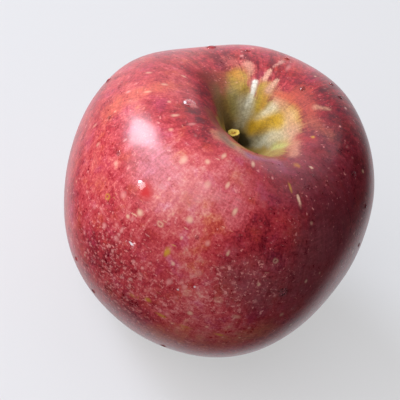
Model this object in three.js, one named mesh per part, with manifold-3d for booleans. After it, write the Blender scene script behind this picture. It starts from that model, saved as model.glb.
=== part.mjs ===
// A large red dessert apple with its stem, and the dried sepals and stamens at its base.
// Millimetres, +Z up along the fruit's core, resting on five small flats round the calyx basin.
// The origin is on the resting plane, under the middle of the fruit's outline.
import * as THREE from "three";
import { mergeVertices } from "three/addons/utils/BufferGeometryUtils.js";
import Module from "manifold-3d";

const wasm = await Module();
wasm.setup();

// The fruit's half section, [radius, height], from the middle of the calyx basin
// over the widest girth and the shoulder to the bottom of the stem cavity.
const section = [
  [0, 12.3], [3.0, 12.0], [4.6, 9.4], [7.6, 5.1], [11.4, 1.6], [15.6, 0], [20.0, 0.6], [26.0, 3.5],
  [32.8, 9.6], [39.4, 19.0], [44.0, 29.7], [46.0, 40.9], [45.6, 51.2], [42.8, 61.8], [37.6, 70.2],
  [31.0, 75.6], [22.8, 77.7], [15.8, 76.3], [11.2, 72.8], [8.0, 67.9], [5.8, 62.4], [3.8, 57.3],
  [2.1, 54.4], [1.7, 52.2], [0, 51.8],
];
const girthRadius = 46;

// Waves round the core: how many, how high in mm, and the direction of one crest in degrees.
const girthWaves = [
  { count: 1, height: 2.8, crest: 195 },
  { count: 2, height: 1.5, crest: 112 },
  { count: 5, height: 0.64, crest: 15 },
];
const shoulderWaves = [
  { count: 1, height: 3.75, crest: 14 },
  { count: 2, height: 0.9, crest: 50 },
  { count: 5, height: 0.5, crest: 53 },
];
const baseWaves = [{ count: 5, height: 1.0, crest: 15 }];
const cavityFlutes = [
  { count: 7, height: 0.45, crest: 60 },
  { count: 3, height: 0.4, crest: 20 },
];

// Furrows that run out of the stem cavity over the shoulder. A negative depth is a raised fold.
// at and wide are degrees round the core; middle and span are shares of the way along the section.
const furrows = [
  { at: 137, wide: 20, depth: 2.8, middle: 0.64, span: 0.13 },
  { at: 345, wide: 25, depth: 2.7, middle: 0.65, span: 0.12 },
  { at: 238, wide: 40, depth: -3.2, middle: 0.68, span: 0.11 },
];
const furrowPinch = 0.25; // how far a furrow draws the girth in, as a share of its depth

// Where along the section the shoulder, the base and the cavity wall have their waves.
const shoulderZone = { middle: 0.665, span: 0.12 };
const baseZone = { middle: 0.22, span: 0.09 };
const cavityZone = { middle: 0.8, span: 0.09 };
const girthFade = 1.5; // the power of the radius by which the girth's waves die out at the poles
const calmRadius = 5; // within this radius of the core every other wave fades out

// The stem cavity leans to one side: how far its bottom is off the core, and where that begins.
const cavityLean = { x: -2.8, y: 2.8, from: 0.64 };

const footTrim = 0.5; // how much the five lobes of the base are flattened where they rest
const facetsRound = 64;
const rowsAlong = 54;

const stem = {
  foot: new THREE.Vector3(-2.8, 2.8, 52.6),
  bend: new THREE.Vector3(-3.5, 1.7, 59.2),
  tip: new THREE.Vector3(-6.0, 2.0, 65.7),
  // [share of the length, radius]: flared foot, slim shaft, swollen end with a dished scar
  outline: [
    [0, 0], [0, 1.1], [0.06, 1.22], [0.16, 1.12], [0.34, 0.98], [0.58, 1.0], [0.78, 1.25],
    [0.9, 1.6], [0.96, 1.75], [1.0, 1.55], [0.985, 1.0], [0.97, 0],
  ],
  facets: 18,
};

const sepals = {
  count: 5,
  firstAt: 51, // the direction of the first one in degrees
  ring: { inner: 1.7, outer: 2.7, low: 10.7, high: 11.7, facets: 40 },
  // [radius, height, half width] along one sepal, from the ring to its curled tip
  spine: [
    [2.1, 11.4, 1.35], [2.6, 10.1, 1.7], [2.8, 8.8, 1.75], [3.2, 7.4, 1.45], [4.0, 6.3, 0.95],
    [4.9, 5.8, 0.4],
  ],
  thickness: 0.7,
  cup: 0.35, // how far a sepal's edges bend outwards at its widest
  twist: 8, // degrees that one sepal leans round to the next
  facets: { across: 4, along: 9 },
};

const stamens = {
  count: 13,
  plug: { radius: 1.25, low: 10.6, high: 11.8, facets: 24 },
  rootRing: 0.78, // how far from the core the outermost filament starts
  rootDepth: 0.5, // how deep a filament is sunk into the plug
  length: { least: 3.2, most: 4.3 },
  thickness: 0.62,
  facets: 5,
  anther: 0.95,
  spread: 11, // most degrees that a filament leans out
  seed: 7,
};

const colours = {
  skin: { color: 0xa8262f, roughness: 0.35 },
  stem: { color: 0x6b4a1e, roughness: 0.75 },
  sepal: { color: 0x6f5a3a, roughness: 0.85 },
  stamen: { color: 0x3a2616, roughness: 0.9 },
};

const core = new THREE.Vector3(0, 0, 1);
const radians = THREE.MathUtils.degToRad;
const bump = (x, zone) => Math.exp(-(((x - zone.middle) / zone.span) ** 2));

// The sum of waves at one direction round the core.
function waveHeight(waves, around) {
  const heights = waves.map((w) => w.height * Math.cos(w.count * (around - radians(w.crest))));
  return heights.reduce((sum, height) => sum + height);
}

// The signed angle from one direction to another, between minus and plus half a turn.
function angleBetween(a, b) {
  return THREE.MathUtils.euclideanModulo(a - b + Math.PI, 2 * Math.PI) - Math.PI;
}

// The fruit's surface for a direction round the core, a share along the section, and the section's
// own radius and height there.
function skinPoint(around, along, radius, height) {
  const share = THREE.MathUtils.clamp(radius / girthRadius, 0, 1);
  const calm = THREE.MathUtils.clamp(radius / calmRadius, 0, 1);
  let r = radius + waveHeight(girthWaves, around) * share ** girthFade;
  let z = height + calm * waveHeight(shoulderWaves, around) * bump(along, shoulderZone);
  z += calm * waveHeight(baseWaves, around) * bump(along, baseZone);
  for (const f of furrows) {
    const across = angleBetween(around, radians(f.at)) / radians(f.wide);
    const cut = calm * f.depth * Math.exp(-(across ** 2)) * bump(along, f);
    z -= cut;
    r -= furrowPinch * cut * share;
  }
  r += calm * waveHeight(cavityFlutes, around) * bump(along, cavityZone);
  const lean = THREE.MathUtils.smoothstep(along, cavityLean.from, 1);
  return new THREE.Vector3(
    r * Math.cos(around) + cavityLean.x * lean,
    r * Math.sin(around) + cavityLean.y * lean,
    z,
  );
}

// A lathe of the section, each vertex then moved to where the waves and furrows put it.
function fruitGeometry() {
  const curve = new THREE.SplineCurve(section.map(([r, z]) => new THREE.Vector2(r, z)));
  const points = [];
  for (let i = 0; i <= rowsAlong; i++) {
    const p = curve.getPoint(i / rowsAlong);
    points.push(new THREE.Vector2(i === 0 || i === rowsAlong ? 0 : Math.max(p.x, 0), p.y));
  }
  const geometry = new THREE.LatheGeometry(points, facetsRound).rotateX(Math.PI / 2);
  const place = geometry.getAttribute("position");
  for (let i = 0; i < place.count; i++) {
    const row = i % points.length;
    const around = Math.atan2(place.getY(i), place.getX(i));
    const p = skinPoint(around, row / rowsAlong, points[row].x, points[row].y);
    place.setXYZ(i, p.x, p.y, p.z);
  }
  geometry.computeBoundingBox();
  const foot = geometry.boundingBox.min.z + footTrim;
  for (let i = 0; i < place.count; i++) place.setZ(i, Math.max(place.getZ(i), foot));
  return geometry;
}

// A straight lathe of the stem's outline, bent along its curve.
function stemGeometry() {
  const path = new THREE.QuadraticBezierCurve3(stem.foot, stem.bend, stem.tip);
  const profile = stem.outline.map(([s, r]) => new THREE.Vector2(r, s));
  const geometry = new THREE.LatheGeometry(profile, stem.facets);
  const place = geometry.getAttribute("position");
  for (let i = 0; i < place.count; i++) {
    const s = place.getY(i);
    const along = path.getTangent(s);
    const right = new THREE.Vector3(1, 0, 0).addScaledVector(along, -along.x).normalize();
    const front = new THREE.Vector3().crossVectors(right, along);
    const p = path.getPoint(s)
      .addScaledVector(right, place.getX(i))
      .addScaledVector(front, place.getZ(i));
    place.setXYZ(i, p.x, p.y, p.z);
  }
  return geometry;
}

// A closed geometry as a solid that can be joined to others.
function solidOf(geometry) {
  const bare = geometry.index ? geometry.toNonIndexed() : geometry.clone();
  bare.deleteAttribute("normal");
  bare.deleteAttribute("uv");
  const merged = mergeVertices(bare);
  return new wasm.Manifold(new wasm.Mesh({
    numProp: 3,
    vertProperties: merged.getAttribute("position").array,
    triVerts: new Uint32Array(merged.index.array),
  }));
}

// Several closed geometries that cross, joined into one.
function joined(geometries) {
  const mesh = geometries.map(solidOf).reduce((all, one) => all.add(one)).getMesh();
  return new THREE.BufferGeometry()
    .setAttribute("position", new THREE.BufferAttribute(mesh.vertProperties, 3))
    .setIndex(new THREE.BufferAttribute(mesh.triVerts, 1));
}

// One sepal: a thin box drawn to the sepal's width, cupped, and bent along its spine, which stands
// in the half plane of the given direction. The box's x runs across the sepal and its y along it.
function sepalGeometry(direction) {
  const spine = new THREE.SplineCurve(sepals.spine.map(([r, z]) => new THREE.Vector2(r, z)));
  const widths = new THREE.SplineCurve(sepals.spine.map(([, , w], i) => new THREE.Vector2(i, w)));
  const geometry = new THREE.BoxGeometry(1, 1, 1, sepals.facets.across, sepals.facets.along, 1);
  const place = geometry.getAttribute("position");
  for (let i = 0; i < place.count; i++) {
    const s = place.getY(i) + 0.5;
    const across = -2 * place.getX(i);
    const middle = spine.getPoint(s);
    const tangent = spine.getTangent(s);
    const bend = sepals.cup * across ** 2 * Math.sin(Math.PI * s);
    const out = place.getZ(i) * sepals.thickness + bend;
    const r = middle.x - tangent.y * out;
    const z = middle.y + tangent.x * out;
    const side = across * widths.getPoint(s).y + r * radians(sepals.twist) * s;
    const p = new THREE.Vector3(r, side, z).applyAxisAngle(core, direction);
    place.setXYZ(i, p.x, p.y, p.z);
  }
  return geometry;
}

// The five sepals on the ring that they grow from.
function calyxGeometry() {
  const { inner, outer, low, high, facets } = sepals.ring;
  const outline = [[inner, low], [outer, low], [outer, high], [inner, high], [inner, low]];
  const corners = outline.map(([r, z]) => new THREE.Vector2(r, z));
  const parts = [new THREE.LatheGeometry(corners, facets).rotateX(Math.PI / 2)];
  for (let i = 0; i < sepals.count; i++) {
    parts.push(sepalGeometry(radians(sepals.firstAt + (360 / sepals.count) * i)));
  }
  return joined(parts);
}

// A small repeatable source of numbers between 0 and 1.
function seededDraws(seed) {
  let state = seed;
  return () => (state = (state * 16807) % 2147483647) / 2147483647;
}

// One dried filament with its knob, standing down out of the plug and leaning out from the core.
function filamentParts(share, direction, reach) {
  const { thickness, facets, anther, spread, rootRing, rootDepth, plug } = stamens;
  const shaft = new THREE.CylinderGeometry(thickness / 2, thickness / 2, reach, facets);
  const knob = new THREE.IcosahedronGeometry(anther / 2, 0);
  return [shaft.translate(0, -reach / 2, 0), knob.translate(0, -reach, 0)].map((piece) => piece
    .rotateX(Math.PI / 2)
    .rotateY(-radians(spread) * share)
    .translate(rootRing * share, 0, plug.low + rootDepth)
    .rotateZ(direction));
}

// All the filaments on their plug, each a golden angle round from the last, as seeds are spaced.
function stamenGeometry() {
  const draw = seededDraws(stamens.seed);
  const { radius, low, high, facets } = stamens.plug;
  const plug = new THREE.CylinderGeometry(radius, radius, high - low, facets)
    .rotateX(Math.PI / 2)
    .translate(0, 0, (low + high) / 2);
  const goldenAngle = Math.PI * (3 - Math.sqrt(5));
  const parts = [plug];
  for (let i = 0; i < stamens.count; i++) {
    const share = Math.sqrt((i + 0.5) / stamens.count);
    const reach = THREE.MathUtils.lerp(stamens.length.least, stamens.length.most, draw());
    parts.push(...filamentParts(share, i * goldenAngle, reach));
  }
  return joined(parts);
}

function pieceOf(name, geometry, finish) {
  const mesh = new THREE.Mesh(geometry, new THREE.MeshStandardMaterial({ ...finish, metalness: 0 }));
  mesh.name = name;
  return mesh;
}

const apple = new THREE.Group();
apple.add(
  pieceOf("fruit", fruitGeometry(), colours.skin),
  pieceOf("stem", stemGeometry(), colours.stem),
  pieceOf("calyx_sepals", calyxGeometry(), colours.sepal),
  pieceOf("calyx_stamens", stamenGeometry(), colours.stamen),
);

// Sets the middle of the outline over the origin, and the flats on the resting plane.
const box = new THREE.Box3().setFromObject(apple, true);
const middle = box.getCenter(new THREE.Vector3());
apple.position.set(-middle.x, -middle.y, -box.min.z);

export default apple;
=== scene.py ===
import bpy
import numpy as np
from mathutils import Matrix, Vector


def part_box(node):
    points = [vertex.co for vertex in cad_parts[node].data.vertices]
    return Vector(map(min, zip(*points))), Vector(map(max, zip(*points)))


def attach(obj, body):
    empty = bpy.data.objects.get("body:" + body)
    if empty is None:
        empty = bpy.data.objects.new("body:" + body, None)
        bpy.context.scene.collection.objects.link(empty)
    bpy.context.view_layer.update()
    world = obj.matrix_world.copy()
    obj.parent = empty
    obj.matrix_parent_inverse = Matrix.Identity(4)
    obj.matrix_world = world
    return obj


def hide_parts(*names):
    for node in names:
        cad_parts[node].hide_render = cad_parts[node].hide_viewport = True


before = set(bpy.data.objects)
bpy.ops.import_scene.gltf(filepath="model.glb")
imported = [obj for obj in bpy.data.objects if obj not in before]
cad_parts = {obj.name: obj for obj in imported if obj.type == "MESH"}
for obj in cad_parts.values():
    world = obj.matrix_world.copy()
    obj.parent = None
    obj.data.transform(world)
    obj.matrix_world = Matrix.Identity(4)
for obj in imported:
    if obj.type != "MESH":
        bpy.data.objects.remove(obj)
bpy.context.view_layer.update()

mm = 0.001
fullTurn = 2 * np.pi
goldenAngle = np.pi * (3 - np.sqrt(5))

# The camera: looks down on the apple from the -Y side, turned about its own line of sight.
view = {
    "aim": (-3.05, 0.0, 38.24),  # mm
    "distance": 430,  # mm
    "lookDown": 44.09,  # degrees below the horizon
    "roll": 27.15,  # degrees
    "lens": 130.4,  # mm, on a sensor of 36 mm
    "sensor": 36,
    "picture": 400,  # pixels across the square picture
}


def cameraAxes():
    # right, up and forward: level axes looking down, then turned about forward by the roll
    down, roll = np.radians([view["lookDown"], view["roll"]])
    forward = np.array([0, np.cos(down), -np.sin(down)])
    levelRight, levelUp = np.array([1.0, 0, 0]), np.array([0, np.sin(down), np.cos(down)])
    right = levelRight * np.cos(roll) + levelUp * np.sin(roll)
    up = levelUp * np.cos(roll) - levelRight * np.sin(roll)
    return right, up, forward


def makeCamera():
    # stands back from the aim along the line of sight, on the three axes
    right, up, forward = cameraAxes()
    data = bpy.data.cameras.new("camera")
    data.lens, data.sensor_width = view["lens"], view["sensor"]
    data.clip_start, data.clip_end = 0.01, 20
    camera = bpy.data.objects.new("camera", data)
    bpy.context.scene.collection.objects.link(camera)
    place = Matrix(np.stack([right, up, -forward], axis=1)).to_4x4()
    place.translation = (np.array(view["aim"]) - forward * view["distance"]) * mm
    camera.matrix_world = place
    bpy.context.scene.camera = camera


makeCamera()
print("camera placed")


# Shapes: everything here is a tube of rings, closed at both ends.


def closedTubes(rings):
    # rings is (copies, rings along, points round, xyz); a fan to the middle of each end ring closes it
    copies, along, around, _ = rings.shape
    ends = rings[:, [0, -1]].mean(axis=2)
    points = np.concatenate([rings.reshape(copies, -1, 3), ends], axis=1)
    a, r = np.meshgrid(np.arange(along - 1), np.arange(around), indexing="ij")
    after = (r + 1) % around
    corners = [a * around + r, a * around + after, (a + 1) * around + after, (a + 1) * around + r]
    quads = np.stack([c.ravel() for c in corners], axis=1)
    r = np.arange(around)
    after, lastRing = (r + 1) % around, (along - 1) * around
    startFan = np.stack([after, r, np.full(around, along * around)], axis=1)
    endFan = np.stack([lastRing + r, lastRing + after, np.full(around, along * around + 1)], axis=1)
    fans = np.concatenate([startFan, endFan])
    first = (np.arange(copies) * (along * around + 2))[:, None, None]
    return points.reshape(-1, 3), (quads + first).reshape(-1, 4), (fans + first).reshape(-1, 3)


# what a mesh attribute is called by how many numbers each point has
attributeKinds = {1: ("FLOAT", "value"), 3: ("FLOAT_VECTOR", "vector"), 4: ("FLOAT_COLOR", "color")}


def addPiece(name, rings, material, replaced=None, values=None):
    # a smooth mesh from rings in mm; values holds a number, vector or colour for each point
    points, quads, fans = closedTubes(rings)
    mesh = bpy.data.meshes.new(name)
    mesh.from_pydata(points * mm, [], quads.tolist() + fans.tolist())
    mesh.shade_smooth()
    for title, value in (values or {}).items():
        width = value.shape[-1] if value.ndim == rings.ndim else 1
        kind, field = attributeKinds[width]
        flat = value.reshape(rings.shape[0], -1, width)
        ends = value.reshape(*rings.shape[:3], width)[:, [0, -1]].mean(axis=2)
        flat = np.concatenate([flat, ends], axis=1)
        mesh.attributes.new(title, kind, "POINT").data.foreach_set(field, flat.astype(np.float32).ravel())
    mesh.materials.append(material)
    piece = bpy.data.objects.new(name, mesh)
    bpy.context.scene.collection.objects.link(piece)
    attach(piece, "root")
    if replaced:
        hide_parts(replaced)
    print(f"{name}: {2 * len(quads) + len(fans)} triangles")
    return piece


def splineThrough(points, share):
    # the smooth curve through every point (Catmull-Rom), at a share of the way along it
    points = np.asarray(points, float)
    last = len(points) - 1
    place = np.clip(share, 0, 1) * last
    left = np.minimum(np.floor(place).astype(int), last - 1)
    t = (place - left)[..., None]
    before, a, b, beyond = (points[np.clip(left + k, 0, last)] for k in (-1, 0, 1, 2))
    slopeA, slopeB = (b - before) / 2, (beyond - a) / 2
    cubed, squared = 2 * a - 2 * b + slopeA + slopeB, 3 * b - 3 * a - 2 * slopeA - slopeB
    return cubed * t**3 + squared * t**2 + slopeA * t + a


def smoothStep(low, high, x):
    # 0 below low, 1 above high, and t x t x (3 - 2t) between them
    t = np.clip((x - low) / (high - low), 0, 1)
    return t * t * (3 - 2 * t)


def unit(v):
    # a vector over its own length
    return v / np.maximum(np.linalg.norm(v, axis=-1, keepdims=True), 1e-12)


# The fruit, with the solid's own values in mm and degrees.
fruit = {
    "section": [
        [0, 12.3], [3.0, 12.0], [4.6, 9.4], [7.6, 5.1], [11.4, 1.6], [15.6, 0], [20.0, 0.6],
        [26.0, 3.5], [32.8, 9.6], [39.4, 19.0], [44.0, 29.7], [46.0, 40.9], [45.6, 51.2],
        [42.8, 61.8], [37.6, 70.2], [31.0, 75.6], [22.8, 77.7], [15.8, 76.3], [11.2, 72.8],
        [8.0, 67.9], [5.8, 62.4], [3.8, 57.3], [2.1, 54.4], [1.7, 52.2], [0, 51.8],
    ],
    "girthRadius": 46,
    # waves: count round the core, height, direction of a crest
    "girthWaves": [(1, 2.8, 195), (2, 1.5, 112), (5, 0.64, 15)],
    "shoulderWaves": [(1, 3.75, 14), (2, 0.9, 50), (5, 0.5, 53)],
    "baseWaves": [(5, 1.0, 15)],
    "cavityFlutes": [(7, 0.45, 60), (3, 0.4, 20)],
    # furrows: direction, width, depth, middle and span along the section
    "furrows": [(137, 20, 2.8, 0.64, 0.13), (345, 25, 2.7, 0.65, 0.12), (238, 40, -3.2, 0.68, 0.11)],
    "furrowPinch": 0.25,
    "shoulderZone": (0.665, 0.12),
    "baseZone": (0.22, 0.09),
    "cavityZone": (0.8, 0.09),
    "girthFade": 1.5,
    "calmRadius": 5,
    "cavityLean": (-2.8, 2.8),
    "leanFrom": 0.64,
    "footTrim": 0.5,
    # the finer surface's own
    "dimples": [(3, 9, 0.10, 0.4), (8, 5, 0.07, 2.1), (13, 14, 0.04, 1.2), (5, 21, 0.05, 4.4)],
    # creases in the cavity wall: direction, width, depth, middle and span
    "creases": [(121, 12, 1.5, 0.745, 0.045), (90, 10, 1.1, 0.768, 0.035), (200, 14, 0.5, 0.77, 0.04)],
    "footSoftness": 0.12,
    "pointsRound": 400,
    "rings": 236,
}


def skinSurface(around, along, finer=True):
    # a radius and a height from the section, then waves, furrows, flutes and the cavity's lean
    section = splineThrough(fruit["section"], along)
    radius, height = np.maximum(section[..., 0], 0), section[..., 1]
    share = np.clip(radius / fruit["girthRadius"], 0, 1)
    calm = np.clip(radius / fruit["calmRadius"], 0, 1)

    def waves(name):
        # the sum of height x cosine(count x the angle from the crest)
        return sum(h * np.cos(n * (around - np.radians(crest))) for n, h, crest in fruit[name])

    def bump(middle, span):
        # a bell along the section
        return np.exp(-(((along - middle) / span) ** 2))

    r = radius + waves("girthWaves") * share ** fruit["girthFade"]
    z = height + calm * waves("shoulderWaves") * bump(*fruit["shoulderZone"])
    z = z + calm * waves("baseWaves") * bump(*fruit["baseZone"])
    for at, wide, depth, middle, span in fruit["furrows"]:
        across = ((around - np.radians(at) + np.pi) % fullTurn - np.pi) / np.radians(wide)
        cut = calm * depth * np.exp(-(across**2)) * bump(middle, span)
        z = z - cut
        r = r - fruit["furrowPinch"] * cut * share
    r = r + calm * waves("cavityFlutes") * bump(*fruit["cavityZone"])
    if finer:
        for n, k, h, phase in fruit["dimples"]:
            r = r + calm * share * h * np.sin(n * around + phase) * np.sin(k * np.pi * along + phase)
        for at, wide, depth, middle, span in fruit["creases"]:
            across = ((around - np.radians(at) + np.pi) % fullTurn - np.pi) / np.radians(wide)
            r = r + depth * np.exp(0.3 - np.sqrt(across**2 + 0.09)) * bump(middle, span)
    lean = smoothStep(fruit["leanFrom"], 1, along)
    x = r * np.cos(around) + fruit["cavityLean"][0] * lean
    y = r * np.sin(around) + fruit["cavityLean"][1] * lean
    return np.stack([x, y, z], axis=-1)


def softFeet(points, floor):
    # lifts what is below the floor onto it, with a rounded edge instead of a crease
    soft = fruit["footSoftness"]
    above = (points[..., 2] - floor) / soft
    lifted = floor + soft * np.logaddexp(0, above)
    points[..., 2] = np.where(along2d < 0.4, lifted, points[..., 2])
    return points


# the plain surface gives the step from the section's own axes to the frame, which is centred
plainAlong, plainAround = np.meshgrid(np.linspace(0, 1, 55), np.arange(64) / 64 * fullTurn, indexing="ij")
plain = skinSurface(plainAround, plainAlong, finer=False).reshape(-1, 3)
footHeight = plain[:, 2].min() + fruit["footTrim"]
nodeLow, nodeHigh = (np.array(corner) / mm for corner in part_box("fruit"))
seat = (nodeLow + nodeHigh) / 2 - (plain.min(0) + plain.max(0)) / 2
seat[2] = nodeLow[2] - footHeight

alongRows = np.linspace(0, 1, fruit["rings"] + 2)[1:-1]
aroundRow = np.arange(fruit["pointsRound"]) / fruit["pointsRound"] * fullTurn
along2d, around2d = np.meshgrid(alongRows, aroundRow, indexing="ij")
skin = softFeet(skinSurface(around2d, along2d), footHeight) + seat
# the finer surface is drawn in by the hair's breadth that keeps it inside the solid's box
skinLow, skinHigh = skin.reshape(-1, 3).min(0), skin.reshape(-1, 3).max(0)
skin = nodeLow + (skin - skinLow) * (nodeHigh - nodeLow) / (skinHigh - skinLow)

tangentAround = unit(np.roll(skin, -1, axis=1) - np.roll(skin, 1, axis=1))
tangentAlong = unit(np.gradient(skin, axis=0))
skinNormal = unit(np.cross(tangentAround, tangentAlong))


def seenAt(pixels):
    # for each pixel of the picture, the index of the skin point that shows there
    right, up, forward = cameraAxes()
    eye = np.array(view["aim"]) - forward * view["distance"]
    away = skin.reshape(-1, 3) - eye
    depth = away @ forward
    scale = view["lens"] / view["sensor"] * view["picture"] / depth
    across = view["picture"] / 2 + scale * (away @ right)
    down = view["picture"] / 2 - scale * (away @ up)
    facing = (skinNormal.reshape(-1, 3) * away).sum(1) < 0
    found = []
    for x, y in pixels:
        miss = np.hypot(across - x, down - y) + np.where(facing, 0, 50)
        close = miss < max(1.6, miss.min() + 0.5)
        found.append(np.argmin(np.where(close, depth + 2 * miss, np.inf)))
    return np.array(found)


# Tones: how light the red is, from 0, maroon, to 1, pale pink, in broad soft strokes laid one on another.
# from pixel, to pixel, half width in mm, tone, strength
tones = {
    "middle": 0.5,
    "left": ((98, 150), (104, 215), 18, 0.58, 0.8),
    # centre: pale pink, partly the skin's own colour and partly a painted sheen of the soft light
    "centre": ((208, 206), (236, 208), 16, 0.83, 0.9),
    # brow: a paler tone that is a painted sheen of the soft light from above
    "brow": ((208, 172), (238, 180), 8, 0.70, 0.8),
    "upperLeft": ((120, 105), (166, 84), 10, 0.56, 0.7),
    "lowerLeft": ((104, 262), (138, 308), 12, 0.38, 0.9),
    "bottom": ((185, 328), (262, 326), 11, 0.70, 0.95),
    "lowerMiddle": ((185, 270), (200, 292), 11, 0.70, 0.85),
    "purplePatch": ((245, 275), (258, 296), 9, 0.42, 0.8),
    "lowerRight": ((300, 285), (286, 318), 17, 0.37, 0.9),
    "rightMiddle": ((318, 205), (315, 240), 14, 0.17, 0.9),
    "right": ((350, 160), (352, 220), 18, 0.17, 0.95),
    # painted shade in the valley that runs from the cavity to the lower right
    "paintedShadeRightFold": ((290, 170), (306, 180), 8, 0.21, 0.8),
    "topRight": ((322, 96), (346, 144), 10, 0.14, 0.9),
    # furrow: a darker tone on the slope into the cavity, painted shade
    "furrow": ((202, 76), (208, 104), 6, 0.17, 0.85),
    "farRim": ((228, 56), (268, 60), 7, 0.20, 0.85),
    # painted shade on the left lip of the cavity, which turns away from the light
    "paintedShadeLipLeft": ((198, 114), (204, 136), 6, 0.20, 0.9),
    "shadeEdge": ((260, 225), (288, 276), 8, 0.25, 0.8),
}
# the same for the hidden sides: direction in degrees and share along the section
farTones = {
    "backLeft": ((150, 0.45), 21, 0.40, 0.7),
    "back": ((95, 0.50), 19, 0.62, 0.7),
    "backRight": ((50, 0.40), 21, 0.36, 0.7),
    "underLeft": ((190, 0.25), 16, 0.38, 0.7),
    "underBack": ((80, 0.22), 18, 0.40, 0.7),
}


def strokeBells(starts, ends, halfWidths, flat=1.0):
    # for each stroke between two skin points, a bell of the distance from the line that joins them;
    # flat above 1 gives it a flatter top and steeper sides, and it narrows a little towards its end
    points = skin.reshape(-1, 3)
    for i, j, half in zip(starts, ends, halfWidths):
        line = points[j] - points[i]
        share = ((points - points[i]) @ line / max(line @ line, 1e-9)).clip(0, 1)
        away = np.linalg.norm(points - points[i] - share[:, None] * line, axis=1) / half
        away = away / (1 - 0.35 * share)
        yield np.exp(-(away ** (2 * flat)))


def skinAt(places):
    # for directions and shares along the section, the index of the skin point there
    around, along = np.array(places).T
    column = np.round(around / 360 * fruit["pointsRound"]).astype(int) % fruit["pointsRound"]
    return np.searchsorted(alongRows, along) * fruit["pointsRound"] + column


def toneValues():
    # each stroke moves the tone towards its own value by its bell
    near = [tone for name, tone in tones.items() if name != "middle"]
    far = list(farTones.values())
    farAt = skinAt([tone[0] for tone in far])
    starts = np.concatenate([seenAt([tone[0] for tone in near]), farAt])
    ends = np.concatenate([seenAt([tone[1] for tone in near]), farAt])
    areas = [tone[2:] for tone in near] + [tone[1:] for tone in far]
    value = np.full(skin.size // 3, tones["middle"])
    for bell, (_, tone, strength) in zip(strokeBells(starts, ends, [area[0] for area in areas]), areas):
        value = value + (tone - value) * strength * bell
    return value.reshape(1, *skin.shape[:2])


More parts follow.
